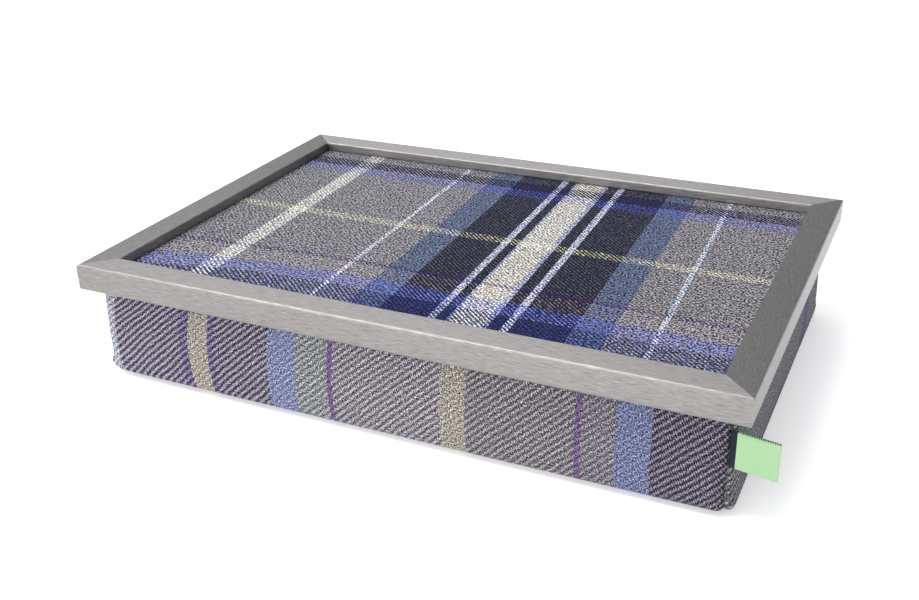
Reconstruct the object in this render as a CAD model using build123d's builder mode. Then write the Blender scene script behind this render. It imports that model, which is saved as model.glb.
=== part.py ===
"""Lap tray with a bead-filled cushion.

A mitred moulding frames a cloth-faced board. The cushion is a sewn cloth box
with a zip in its back, and holds a lining bag of beads. Hook and loop tapes
hold the cushion under the tray. Millimetres, +Z up, origin at the middle of
the cushion's flat underside, front of the tray towards -Y.
"""

import os
from math import hypot

from build123d import *

# Overall sizes
tray_width = 440.0
tray_depth = 305.0
cushion_height = 65.4
cushion_inset = 12.5
tray_gap = 0.6
joint_gap = 0.3
overrun = 5.0

# Moulding of the frame
rail_width = 20.0
rail_edge_radius = 0.9
rebate_width = 6.0
lip_thickness = 8.0

# Boards and fabric in the frame's rebate
board_clearance = 0.6
tray_fabric_thickness = 0.9
board_thickness = 3.0
turn_under_width = 14.0
backing_thickness = 3.0

# Nails pressed across each mitre, and points that hold the boards
nail_wing = 6.0
nail_thickness = 0.6
nail_height = 8.0
nail_sunk = 0.4
nail_insets = (5.0, 10.0)
point_driven = 7.0
point_shown = 4.0
point_width = 5.0
point_thickness = 0.5
points_per_long_rail = 3
points_per_short_rail = 2

# Hook and loop tapes
tape_width = 20.0
hook_thickness = 1.3
loop_thickness = 1.2
tape_edge_gap = 0.5
tape_corner_gap = 1.0

# Cushion cover
cover_cloth = 1.2
front_crown = 2.5
middle_swell = 1.5
crown_level_share = 0.05
bottom_radius = 12.0
bottom_crown = 1.0
bottom_flat_cut = 0.5
end_crown = 2.0
swell_shares = ((-1.0, 0.0), (-0.75, 0.6), (0.0, 1.0), (0.75, 0.6), (1.0, 0.0))
end_dome_shares = ((0.0, 1.0), (0.36, 0.8), (0.7, 0.55), (0.95, 0.22))

# Lining bag and beads
bag_gap = 0.5
bag_zip_gap = 0.8
bag_cloth = 0.6

# Zip in the cushion's back
zip_drop = 25.4
zip_end_inset = 42.5
zip_window_gap = 0.65
zip_tape_width = 14.0
zip_tape_thickness = 0.7
zip_tape_overhang = 8.0
zip_tape_split = 0.6
tooth_pitch = 2.5
tooth_length = 2.3
tooth_width = 1.05
tooth_thickness = 1.2
tooth_spine = 0.8
tooth_mesh = 1.3
stop_length = 2.0
stop_height = 1.4

# Slider and its pull
slider_length = 11.0
slider_plate = 1.2
slider_wall = 1.0
slider_gap = 0.4
slider_corner = 1.5
slider_start = 0.6
bridge_span = 6.4
bridge_width = 1.6
bridge_post = 0.9
bridge_rise = 2.4
bridge_bar = 0.7
pull_length = 20.0
pull_thickness = 0.8
pull_bar = 0.8
pull_arm = 1.0
pull_corner = 1.2

# Label in the seam at the front right corner
label_reach = 26.5
label_height = 23.5
label_drop = 9.4
label_sag = 3.8
label_layer = 0.35
label_fold_gap = 0.2
label_slot_gap = 0.1

# Plan of the frame and cushion
half_width = tray_width / 2
half_depth = tray_depth / 2
rebate_depth = rail_width - rebate_width
rebate_x = half_width - rebate_depth
rebate_y = half_depth - rebate_depth
seam_x = half_width - cushion_inset
wall_y = half_depth - cushion_inset

# Heights, from the cushion's top up to the rim of the frame
hook_bottom = cushion_height + loop_thickness + joint_gap
backing_bottom = hook_bottom + hook_thickness
turn_under_bottom = backing_bottom + backing_thickness
board_bottom = turn_under_bottom + tray_fabric_thickness
board_top = board_bottom + board_thickness
fabric_top = board_top + tray_fabric_thickness
frame_bottom = cushion_height + tray_gap
frame_top = fabric_top + lip_thickness
rail_height = frame_top - frame_bottom

os.makedirs("parts", exist_ok=True)


def save(name, part):
    """Label a finished piece and write it to its own STEP file."""
    part.label = name
    export_step(part, f"parts/{name}.step")


# Nails and points of the frame

with BuildPart() as corner_v_nails:
    for corner_x in (-1, 1):
        for corner_y in (-1, 1):
            for inset in nail_insets:
                apex_x = corner_x * (half_width - inset)
                apex_y = corner_y * (half_depth - inset)
                with BuildSketch(Plane.XY.offset(frame_bottom + nail_sunk)):
                    with Locations((apex_x - corner_x * nail_wing / 2, apex_y)):
                        Rectangle(nail_wing + nail_thickness, nail_thickness)
                    with Locations((apex_x, apex_y - corner_y * nail_wing / 2)):
                        Rectangle(nail_thickness, nail_wing + nail_thickness)
                extrude(amount=nail_height)

point_length = point_driven + point_shown
point_x = rebate_x - point_shown + point_length / 2
point_y = rebate_y - point_shown + point_length / 2
with BuildPart() as retaining_points:
    with BuildSketch(Plane.XY.offset(backing_bottom - point_thickness)):
        for side in (-1, 1):
            with Locations((0, side * point_y)):
                with GridLocations(tray_width / points_per_long_rail, 0, points_per_long_rail, 1):
                    Rectangle(point_width, point_length)
            with Locations((side * point_x, 0)):
                with GridLocations(0, tray_depth / points_per_short_rail, 1, points_per_short_rail):
                    Rectangle(point_length, point_width)
    extrude(amount=point_thickness)

save("corner_v_nails", corner_v_nails.part)
save("retaining_points", retaining_points.part)


# Rails of the frame

def moulding(plane):
    """Section of the moulding, inwards from its outer face and up from its underside."""
    lip_underside = rail_height - lip_thickness
    with BuildSketch(plane) as profile:
        with BuildLine():
            Polyline(
                (0, 0),
                (rebate_depth, 0),
                (rebate_depth, lip_underside),
                (rail_width, lip_underside),
                (rail_width, rail_height),
                (0, rail_height),
                close=True,
            )
        make_face()
        top_corners = profile.vertices().group_by(Axis.Y)[-1]
        outer_corners = profile.vertices().group_by(Axis.X)[0]
        fillet(set(top_corners + outer_corners), rail_edge_radius)
    return profile.sketch


def mitred_rail(length, turn, reach):
    """Rail of a given length, mitred at both ends, with its outer face at reach from the middle."""
    outward = Vector(0, -1, 0).rotate(Axis.Z, turn)
    along = Vector(1, 0, 0).rotate(Axis.Z, turn)
    start = outward * reach - along * (length / 2) + Vector(0, 0, frame_bottom)
    end = start + along * length
    with BuildPart() as rail:
        extrude(moulding(Plane(origin=start, x_dir=-outward, z_dir=along)), amount=length)
        split(bisect_by=Plane(origin=start, z_dir=outward + along), keep=Keep.TOP)
        split(bisect_by=Plane(origin=end, z_dir=outward - along), keep=Keep.TOP)
        add(corner_v_nails.part, mode=Mode.SUBTRACT)
        add(retaining_points.part, mode=Mode.SUBTRACT)
    return rail.part


save("frame_rail_front", mitred_rail(tray_width, 0, half_depth))
save("frame_rail_right", mitred_rail(tray_depth, 90, half_width))
save("frame_rail_back", mitred_rail(tray_width, 180, half_depth))
save("frame_rail_left", mitred_rail(tray_depth, 270, half_width))

# Boards and fabric in the frame

wrapped_width = 2 * (rebate_x - board_clearance)
wrapped_depth = 2 * (rebate_y - board_clearance)
board_width = wrapped_width - 2 * tray_fabric_thickness
board_depth = wrapped_depth - 2 * tray_fabric_thickness

with BuildPart() as tray_board:
    with BuildSketch(Plane.XY.offset(board_bottom)):
        Rectangle(board_width, board_depth)
    extrude(amount=board_thickness)

with BuildPart() as tray_fabric:
    with BuildSketch(Plane.XY.offset(turn_under_bottom)):
        RectangleRounded(wrapped_width, wrapped_depth, tray_fabric_thickness)
    extrude(amount=fabric_top - turn_under_bottom)
    add(tray_board.part, mode=Mode.SUBTRACT)
    with BuildSketch(Plane.XY.offset(turn_under_bottom)):
        Rectangle(board_width - 2 * turn_under_width, board_depth - 2 * turn_under_width)
    extrude(amount=tray_fabric_thickness, mode=Mode.SUBTRACT)

with BuildPart() as backing_board:
    with BuildSketch(Plane.XY.offset(backing_bottom)):
        Rectangle(wrapped_width, wrapped_depth)
    extrude(amount=backing_thickness)

save("tray_board", tray_board.part)
save("tray_fabric", tray_fabric.part)
save("backing_board", backing_board.part)

# Hook tapes under the tray, and loop tapes on the cushion

tape_edge_x = rebate_x - point_shown - tape_edge_gap
tape_edge_y = rebate_y - point_shown - tape_edge_gap
tape_x = tape_edge_x - tape_width / 2
tape_y = tape_edge_y - tape_width / 2
long_tape = 2 * (tape_edge_x - tape_width - tape_corner_gap)
short_tape = 2 * tape_edge_y
tape_places = {
    "front": ((0, -tape_y), (long_tape, tape_width)),
    "back": ((0, tape_y), (long_tape, tape_width)),
    "left": ((-tape_x, 0), (tape_width, short_tape)),
    "right": ((tape_x, 0), (tape_width, short_tape)),
}


def tape(base, thickness, middle, size):
    """Strip of tape of a given size in plan, from a base height upwards."""
    with BuildPart() as strip:
        with BuildSketch(Plane.XY.offset(base)):
            with Locations(middle):
                Rectangle(*size)
        extrude(amount=thickness)
    return strip.part


for side_name, (tape_middle, tape_size) in tape_places.items():
    save(f"hook_tape_{side_name}", tape(hook_bottom, hook_thickness, tape_middle, tape_size))
    save(f"loop_tape_{side_name}", tape(cushion_height, loop_thickness, tape_middle, tape_size))


# Forms of the cushion

def cushion_section(x, inset, back_inset, swell, size_share=1):
    """Outline of the cushion at x, drawn in by inset, and by back_inset at its flat back.

    The swell is added to the front's crown and lowers the foot. The share
    shrinks the outline about its middle.
    """
    middle_height = cushion_height / 2
    front = inset - wall_y
    back = wall_y - back_inset
    top = middle_height - inset
    corner = bottom_radius - inset
    foot = bottom_crown + inset - swell - middle_height
    corner_bend = corner * (1 - 0.5**0.5)
    with BuildSketch(Plane(origin=(x, 0, middle_height), x_dir=(0, 1, 0), z_dir=(1, 0, 0))) as section:
        with BuildLine():
            Line((back, top), (front, top))
            ThreePointArc(
                (front, top),
                (front - front_crown - swell, cushion_height * crown_level_share),
                (front, foot + corner),
            )
            ThreePointArc(
                (front, foot + corner),
                (front + corner_bend, foot + corner_bend),
                (front + corner, foot),
            )
            ThreePointArc(
                (front + corner, foot),
                (0, inset - bottom_flat_cut - middle_height),
                (back - corner, foot),
            )
            ThreePointArc(
                (back - corner, foot),
                (back - corner_bend, foot + corner_bend),
                (back, foot + corner),
            )
            Line((back, foot + corner), (back, top))
        make_face()
        scale(by=size_share)
    return section.sketch


def cushion_body(half_length, inset, back_inset):
    """Solid cushion between two flat ends, fullest at its middle."""
    with BuildPart() as body:
        for length_share, swell_share in swell_shares:
            swell = middle_swell * (swell_share - 1)
            add(cushion_section(half_length * length_share, inset, back_inset, swell))
        loft()
    return body.part


def end_dome(side, base_x, inset):
    """Shallow dome that closes one end of the cushion, from base_x outwards."""
    with BuildPart() as dome:
        for rise_share, size_share in end_dome_shares:
            x = side * (base_x + end_crown * rise_share)
            add(cushion_section(x, inset, inset, -middle_swell, size_share))
        loft()
    return dome.part


# Cushion cover: a wrap, a strip above the zip, a top panel and two end panels

with BuildPart() as cover_tube:
    add(cushion_body(seam_x, 0, 0))
    add(cushion_body(seam_x, cover_cloth, cover_cloth), mode=Mode.SUBTRACT)
    split(bisect_by=Plane.XY, keep=Keep.TOP)

top_seam = Plane.XY.offset(cushion_height - cover_cloth)
zip_height = cushion_height - zip_drop
zip_length = 2 * (seam_x - zip_end_inset)
chain_half_width = tooth_spine + tooth_length - tooth_mesh / 2
slider_outer_width = 2 * (chain_half_width + slider_gap + slider_wall)
zip_window = slider_outer_width + 2 * zip_window_gap

with BuildPart() as zip_opening:
    with BuildSketch(Plane.XZ.offset(-wall_y - overrun)):
        with Locations((0, zip_height)):
            Rectangle(zip_length, zip_window)
    extrude(amount=cover_cloth + 2 * overrun)

with BuildPart() as above_zip:
    with BuildSketch(Plane.XZ.offset(-wall_y - overrun)):
        with Locations((0, zip_height)):
            Rectangle(2 * seam_x, cushion_height, align=(Align.CENTER, Align.MIN))
    extrude(amount=cover_cloth + 2 * overrun)

with BuildPart() as cover_top_panel:
    add(cover_tube.part)
    split(bisect_by=top_seam, keep=Keep.TOP)

with BuildPart() as cover_back_strip:
    add(cover_tube.part)
    split(bisect_by=top_seam, keep=Keep.BOTTOM)
    add(above_zip.part, mode=Mode.INTERSECT)
    add(zip_opening.part, mode=Mode.SUBTRACT)

with BuildPart() as cover_wrap:
    add(cover_tube.part)
    split(bisect_by=top_seam, keep=Keep.BOTTOM)
    add(above_zip.part, mode=Mode.SUBTRACT)
    add(zip_opening.part, mode=Mode.SUBTRACT)

save("cover_top_panel", cover_top_panel.part)
save("cover_back_strip", cover_back_strip.part)
save("cover_wrap", cover_wrap.part)

# Label, a folded ribbon sewn into the front right seam

label_thickness = 2 * label_layer + label_fold_gap
label_top = cushion_height - label_drop
label_front = Plane.XZ.offset(wall_y)
fold_front = label_front.offset(-label_layer)

with BuildPart() as side_label:
    with BuildSketch(label_front):
        with BuildLine():
            Polyline(
                (seam_x, label_top),
                (seam_x + label_reach, label_top - label_sag),
                (seam_x + label_reach, label_top - label_sag - label_height),
                (seam_x, label_top - label_height),
                close=True,
            )
        make_face()
    extrude(amount=-label_thickness)
    with BuildSketch(fold_front):
        with Locations((seam_x, label_top)):
            Rectangle(2 * (label_reach - label_layer), 2 * (label_height + label_sag + overrun))
    extrude(amount=-label_fold_gap, mode=Mode.SUBTRACT)

save("side_label", side_label.part)


def end_panel(side):
    """Crowned end panel of the cover, with a rim that meets the wrap's edge."""
    with BuildPart() as panel:
        extrude(cushion_section(side * seam_x, 0, 0, -middle_swell), amount=side * cover_cloth)
        add(end_dome(side, seam_x + cover_cloth, 0))
        add(end_dome(side, seam_x, cover_cloth), mode=Mode.SUBTRACT)
        split(bisect_by=Plane.XY, keep=Keep.TOP)
        with BuildSketch(label_front.offset(overrun)):
            with Locations((seam_x, label_top + label_slot_gap)):
                notch_height = label_height + label_sag + label_slot_gap
                Rectangle(label_reach, notch_height, align=(Align.MIN, Align.MAX))
        extrude(amount=-overrun - label_thickness - label_slot_gap, mode=Mode.SUBTRACT)
    return panel.part


save("cover_left_end", end_panel(-1))
save("cover_right_end", end_panel(1))

# Lining bag and the beads in it

bag_inset = cover_cloth + bag_gap
bag_back_inset = cover_cloth + zip_tape_thickness + bag_zip_gap
bead_gap = bag_cloth + joint_gap
bag_end = seam_x - bag_gap

with BuildPart() as bead_liner:
    add(cushion_body(bag_end, bag_inset, bag_back_inset))
    add(
        cushion_body(bag_end - bag_cloth, bag_inset + bag_cloth, bag_back_inset + bag_cloth),
        mode=Mode.SUBTRACT,
    )

bead_fill = cushion_body(bag_end - bead_gap, bag_inset + bead_gap, bag_back_inset + bead_gap)

save("bead_liner", bead_liner.part)
save("bead_fill", bead_fill)

# Zip: planes face out of the cushion's back, with local x towards the cushion's left end

zip_face = Plane(origin=(0, wall_y - cover_cloth, zip_height), x_dir=(-1, 0, 0), z_dir=(0, 1, 0))
chain_length = zip_length - 2 * stop_length
tooth_count = int(chain_length / tooth_pitch) - 1


def zip_tape(side):
    """Woven tape of the zip, above or below its middle."""
    with BuildPart() as woven:
        with BuildSketch(zip_face):
            with Locations((0, side * (zip_tape_split + zip_tape_width) / 2)):
                Rectangle(zip_length + 2 * zip_tape_overhang, zip_tape_width)
        extrude(amount=-zip_tape_thickness)
    return woven.part


def zip_teeth(side):
    """Row of teeth on its spine, above or below the zip's middle, half a pitch from the other row."""
    with BuildPart() as row:
        with BuildSketch(zip_face):
            with Locations((0, side * (chain_half_width - tooth_spine / 2))):
                Rectangle(chain_length, tooth_spine)
            with Locations((side * tooth_pitch / 4, side * (tooth_length - tooth_mesh) / 2)):
                with GridLocations(tooth_pitch, 0, tooth_count, 1):
                    Rectangle(tooth_width, tooth_length)
        extrude(amount=tooth_thickness)
    return row.part


with BuildPart() as zip_stops:
    with BuildSketch(zip_face):
        with GridLocations(zip_length - stop_length, 0, 2, 1):
            Rectangle(stop_length, 2 * chain_half_width)
    extrude(amount=stop_height)

save("zip_tape_upper", zip_tape(1))
save("zip_tape_lower", zip_tape(-1))
save("zip_teeth_upper", zip_teeth(1))
save("zip_teeth_lower", zip_teeth(-1))
save("zip_stops", zip_stops.part)

# Slider, with a bridge that its pull hangs on

slider_end_gap = stop_length + slider_start + slider_length / 2
slider_x = zip_length / 2 - slider_end_gap
slider_at = (-slider_x, 0)
plate_base = tooth_thickness + slider_gap
plate_top = plate_base + slider_plate
bridge_height = bridge_rise + bridge_bar

with BuildPart() as zip_slider:
    with BuildSketch(zip_face.offset(plate_base)):
        with Locations(slider_at):
            RectangleRounded(slider_length, slider_outer_width, slider_corner)
    extrude(amount=slider_plate)
    with BuildSketch(zip_face.offset(slider_gap)):
        with Locations(slider_at):
            with GridLocations(0, slider_outer_width - slider_wall, 1, 2):
                Rectangle(slider_length - 2 * slider_corner, slider_wall)
    extrude(amount=plate_base - slider_gap)
    with BuildSketch(Plane.XY.offset(zip_height)):
        with Locations((slider_x, wall_y - cover_cloth + plate_top)):
            Rectangle(bridge_span, bridge_height, align=(Align.CENTER, Align.MIN))
            Rectangle(
                bridge_span - 2 * bridge_post,
                bridge_rise,
                align=(Align.CENTER, Align.MIN),
                mode=Mode.SUBTRACT,
            )
    extrude(amount=bridge_width / 2, both=True)

pull_base = plate_top + slider_gap
pull_pivot = pull_base + pull_thickness / 2
bridge_reach = hypot(bridge_span / 2, plate_top + bridge_height - pull_pivot)
pull_eye_length = bridge_reach + slider_gap - pull_bar / 2
pull_eye_width = bridge_width + 2 * slider_gap
pull_width = pull_eye_width + 2 * pull_arm
with BuildPart() as zip_pull:
    with BuildSketch(zip_face.offset(pull_base)):
        with Locations((-slider_x - pull_bar / 2, 0)):
            with Locations((pull_length / 2, 0)):
                RectangleRounded(pull_length, pull_width, pull_corner)
            with Locations((pull_bar + pull_eye_length / 2, 0)):
                Rectangle(pull_eye_length, pull_eye_width, mode=Mode.SUBTRACT)
    extrude(amount=pull_thickness)

save("zip_slider", zip_slider.part)
save("zip_pull", zip_pull.part)

print(f"Frame from {frame_bottom:.2f} to {frame_top:.2f}, top of the tray's fabric {fabric_top:.2f}")
print(f"Pull pivots at x {slider_x:.2f}, y {wall_y - cover_cloth + pull_pivot:.2f}, z {zip_height:.2f}")
print(f"Slider travels {2 * slider_x:.2f}")
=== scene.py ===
"""Lap tray with a bead-filled cushion: its finishes and soft pieces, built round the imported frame.

A mitred moulding in brushed foil frames a board faced with checked twill. Hook
and loop tapes hold a sewn cushion of the same cloth under it. Metres, +Z up,
origin at the middle of the cushion's flat underside, front towards -Y.
"""

import logging
import math
from collections.abc import Callable, Iterable, Mapping, Sequence
from dataclasses import dataclass
from enum import Enum
from typing import Any, ClassVar

import bmesh
import bpy
from mathutils import Matrix, Vector, noise


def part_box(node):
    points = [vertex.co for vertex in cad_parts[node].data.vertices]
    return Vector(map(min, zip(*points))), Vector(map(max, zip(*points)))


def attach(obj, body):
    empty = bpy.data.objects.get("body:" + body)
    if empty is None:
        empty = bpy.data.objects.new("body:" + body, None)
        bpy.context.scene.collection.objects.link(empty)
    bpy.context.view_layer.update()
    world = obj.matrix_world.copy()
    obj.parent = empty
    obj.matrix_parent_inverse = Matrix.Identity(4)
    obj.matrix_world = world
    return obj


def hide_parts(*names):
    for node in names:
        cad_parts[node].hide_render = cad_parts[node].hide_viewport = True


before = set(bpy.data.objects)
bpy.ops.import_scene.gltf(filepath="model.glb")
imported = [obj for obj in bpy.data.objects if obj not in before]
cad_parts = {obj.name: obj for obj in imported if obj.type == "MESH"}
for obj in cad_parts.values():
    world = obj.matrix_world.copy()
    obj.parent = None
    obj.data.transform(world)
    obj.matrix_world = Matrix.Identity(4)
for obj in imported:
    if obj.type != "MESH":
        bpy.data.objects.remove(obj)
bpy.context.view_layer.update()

MM = 0.001
CLOTH_MAP = "cloth"
FLUSH = 1e-6  # two corners this close, in metres, are one
NEAR = 1e-4  # a point this close to a face, in metres, lies on it
MULTIPLY: Mapping[str, str] = {"data_type": "RGBA", "blend_type": "MULTIPLY"}
Colour = tuple[float, float, float, float]
Span = tuple[float, float]
Triple = tuple[float, float, float]
log = logging.getLogger("lap_tray")


def srgb(hex_colour: str, strength: float = 1.0) -> Colour:
    """Turns an sRGB hex colour to linear light.

    Args:
        hex_colour: six hex digits, such as "b8b4ae".
        strength: the alpha that goes with it.

    Returns:
        red, green, blue and alpha.
    """
    levels = [int(hex_colour[i : i + 2], 16) / 255 for i in (0, 2, 4)]
    red, green, blue = (c / 12.92 if c <= 0.04045 else ((c + 0.055) / 1.055) ** 2.4 for c in levels)
    return red, green, blue, strength


def smooth_step(low: float, high: float, value: float) -> float:
    """Returns 0 below low, 1 above high and a smooth rise between."""
    share = min(1.0, max(0.0, (value - low) / (high - low)))
    return share * share * (3 - 2 * share)


def wire(
    tree: bpy.types.NodeTree,
    kind: str,
    sockets: Mapping[str | int, Any] | None = None,
    stops: Sequence[tuple[float, Colour]] = (),
    **settings: Any,
) -> bpy.types.Node:
    """Adds a node with its settings and links.

    Args:
        tree: node tree that gets the node.
        kind: type of the node, without ShaderNode.
        sockets: name or index of an input, with its value, a socket, or a node whose first output it takes.
        stops: places and colours of a ramp.
        settings: properties of the node, or of its ramp.

    Returns:
        the new node.
    """
    node = tree.nodes.new("ShaderNode" + kind)
    for name, value in settings.items():
        setattr(node.color_ramp if stops else node, name, value)
    for index, (place, colour) in enumerate(stops):
        element = node.color_ramp.elements[index] if index < 2 else node.color_ramp.elements.new(place)
        element.position = place
        element.color = colour
    for name, value in (sockets or {}).items():
        by_name = (s for s in node.inputs if s.name == name and s.enabled)
        socket = node.inputs[name] if isinstance(name, int) else next(by_name)
        if isinstance(value, bpy.types.Node):
            value = next(s for s in value.outputs if s.enabled)
        if isinstance(value, bpy.types.NodeSocket):
            tree.links.new(value, socket)
        else:
            socket.default_value = value
    return node


def dress(name: str, paint: Callable[[bpy.types.NodeTree], Mapping[str, Any]]) -> bpy.types.Material:
    """Makes a material around one surface shader, once for each name.

    Args:
        name: name of the real material.
        paint: adds the pattern's nodes to a tree and returns the shader's inputs.

    Returns:
        the material.
    """
    made = bpy.data.materials.get(name)
    if made is None:
        made = bpy.data.materials.new(name)
        made.use_nodes = True
        made.node_tree.nodes.clear()
        shader = wire(made.node_tree, "BsdfPrincipled", paint(made.node_tree))
        wire(made.node_tree, "OutputMaterial", {"Surface": shader})
    return made


def to_object(
    name: str, bm: bmesh.types.BMesh, material: bpy.types.Material | None = None
) -> bpy.types.Object:
    """Turns a bmesh into a smooth-shaded object at the origin.

    Args:
        name: name of the piece.
        bm: its shape, which is freed.
        material: what it is made of.

    Returns:
        the object, linked to the scene.
    """
    mesh = bpy.data.meshes.new(name)
    bm.to_mesh(mesh)
    bm.free()
    mesh.shade_smooth()
    piece = bpy.data.objects.new(name, mesh)
    if material:
        mesh.materials.append(material)
    bpy.context.scene.collection.objects.link(piece)
    return piece


def seat(piece: bpy.types.Object, body: str, slot: str, *nodes: str) -> bpy.types.Object:
    """Puts a piece on its body and in place of its CAD nodes.

    Args:
        piece: the finished piece.
        body: CAD body that it moves with.
        slot: the record's material slot meant for it; not used.
        nodes: CAD nodes that it stands for.

    Returns:
        the piece.
    """
    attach(piece, body)
    if nodes:
        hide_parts(*nodes)
    return piece


def finish_node(node: str, material: bpy.types.Material) -> bpy.types.Object:
    """Gives a CAD node that keeps its shape a better material.

    Args:
        node: name of the CAD node.
        material: what it is made of.

    Returns:
        its object.
    """
    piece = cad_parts[node]
    for material_slot in piece.material_slots:
        material_slot.material = material
    return piece


def sharpen(piece: bpy.types.Object, degrees: float = 35.0) -> None:
    """Keeps the shading crisp at edges that turn by more than an angle."""
    piece.data.set_sharp_from_angle(angle=math.radians(degrees))


def baked(piece: bpy.types.Object) -> bpy.types.Mesh:
    """Returns a copy of a piece's mesh with its modifiers applied."""
    graph = bpy.context.evaluated_depsgraph_get()
    return bpy.data.meshes.new_from_object(piece.evaluated_get(graph))


def set_map(bm: bmesh.types.BMesh, place: Callable[[Vector], tuple[float, float]]) -> None:
    """Writes the cloth map, in metres along the two yarns.

    Args:
        bm: the cloth.
        place: finds the metres along both yarns at a point.
    """
    layer = bm.loops.layers.uv.get(CLOTH_MAP) or bm.loops.layers.uv.new(CLOTH_MAP)
    for face in bm.faces:
        for loop in face.loops:
            loop[layer].uv = place(loop.vert.co)


def box_bmesh(low: Vector, high: Vector) -> bmesh.types.BMesh:
    """Makes a box between two corners.

    Args:
        low: its lowest corner.
        high: its highest corner.

    Returns:
        the box.
    """
    bm = bmesh.new()
    size = high - low
    matrix = Matrix.Translation((low + high) / 2) @ Matrix.Diagonal((*size, 1.0))
    bmesh.ops.create_cube(bm, size=1.0, matrix=matrix)
    return bm


def soften(bm: bmesh.types.BMesh, edges: Iterable[bmesh.types.BMEdge], radius: float, segments: int) -> None:
    """Rounds edges to a radius.

    Args:
        bm: the shape.
        edges: its edges to round.
        radius: how far each is rounded.
        segments: how many flats make the round.
    """
    bmesh.ops.bevel(
        bm,
        geom=list(edges),
        offset=radius,
        offset_type="OFFSET",
        affect="EDGES",
        segments=segments,
        profile=0.5,
        material=-1,
        clamp_overlap=True,
    )


@dataclass(frozen=True)
class Stripe:
    """One stripe of a sett: where it starts in millimetres, its yarn, and a share that goes with it."""

    start: float
    yarn: str
    share: float = 1.0


def sett(stripes: Sequence[Stripe], low: float, high: float) -> list[tuple[float, Colour]]:
    """Turns stripes to the stops of a ramp that spans low to high, in millimetres."""
    return [((max(s.start, low) - low) / (high - low), srgb(s.yarn, s.share)) for s in stripes]


def striped(
    tree: bpy.types.NodeTree,
    place: bpy.types.NodeSocket | bpy.types.Node,
    stripes: Sequence[Stripe],
    low: float,
    high: float,
) -> bpy.types.Node:
    """Lays a sett's stripes along one way of the cloth.

    Args:
        tree: node tree of the cloth.
        place: distance along that way, in metres.
        stripes: the sett.
        low: where the sett starts, in millimetres.
        high: where it ends.

    Returns:
        the node whose colour is the stripe's yarn and whose alpha is its share.
    """
    along = wire(tree, "MapRange", {"Value": place, "From Min": low * MM, "From Max": high * MM})
    return wire(tree, "ValToRGB", {"Fac": along}, stops=sett(stripes, low, high), interpolation="CONSTANT")


# Finishes


class Grain(Enum):
    """Way that the brush marks of a rail run."""

    ALONG_X = (1.0, 0.0, 0.0)
    ALONG_Y = (0.0, 1.0, 0.0)


@dataclass(frozen=True)
class BrushedFoil:
    """Silver foil brushed along the rail: finely streaked, and bright where light falls across the marks.

    The marks, in millimetres, are wider than real ones of about 0.1 mm, which are too fine to show.
    """

    grain: Grain
    light: str = "a8a5a3"
    dark: str = "757271"
    mark_length: float = 8.0
    mark_width: float = 0.42
    glossiest: float = 0.36
    dullest: float = 0.46

    def material(self) -> bpy.types.Material:
        """Returns the foil with its marks along this rail."""
        return dress(f"brushed_silver_foil_{self.grain.name.lower()}", self._paint)

    def _paint(self, tree: bpy.types.NodeTree) -> Mapping[str, Any]:
        """Draws long fine marks in colour, gloss and relief.

        Args:
            tree: the foil's node tree.

        Returns:
            the shader's inputs.
        """
        length, width = self.mark_length * MM, self.mark_width * MM
        stretch = [1 / length if along else 1 / width for along in self.grain.value]
        place = wire(tree, "TexCoord").outputs["Object"]
        brushed = wire(tree, "Mapping", {"Vector": place, "Scale": stretch})
        marks = wire(tree, "TexNoise", {"Vector": brushed, "Scale": 1.0, "Detail": 3.0, "Roughness": 0.65})
        cloud = wire(tree, "TexNoise", {"Vector": place, "Scale": 9.0, "Detail": 1.0})
        stops = ((0.28, srgb(self.dark)), (0.72, srgb(self.light)))
        streaked = wire(tree, "ValToRGB", {"Fac": marks}, stops=stops)
        shade = wire(tree, "MapRange", {"Value": cloud, "To Min": 0.96, "To Max": 1.04})
        colour = wire(tree, "Mix", {0: 1.0, "A": streaked, "B": shade}, **MULTIPLY)
        gloss = wire(tree, "MapRange", {"Value": marks, "To Min": self.glossiest, "To Max": self.dullest})
        relief = wire(tree, "Bump", {"Height": marks, "Strength": 0.3, "Distance": 0.04 * MM})
        tangent = wire(tree, "CombineXYZ", dict(enumerate(self.grain.value)))
        return {
            "Base Color": colour,
            "Metallic": 1.0,
            "Roughness": gloss,
            "Anisotropic": 0.8,
            "Anisotropic Rotation": 0.25,
            "Tangent": tangent,
            "Normal": relief,
        }


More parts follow.
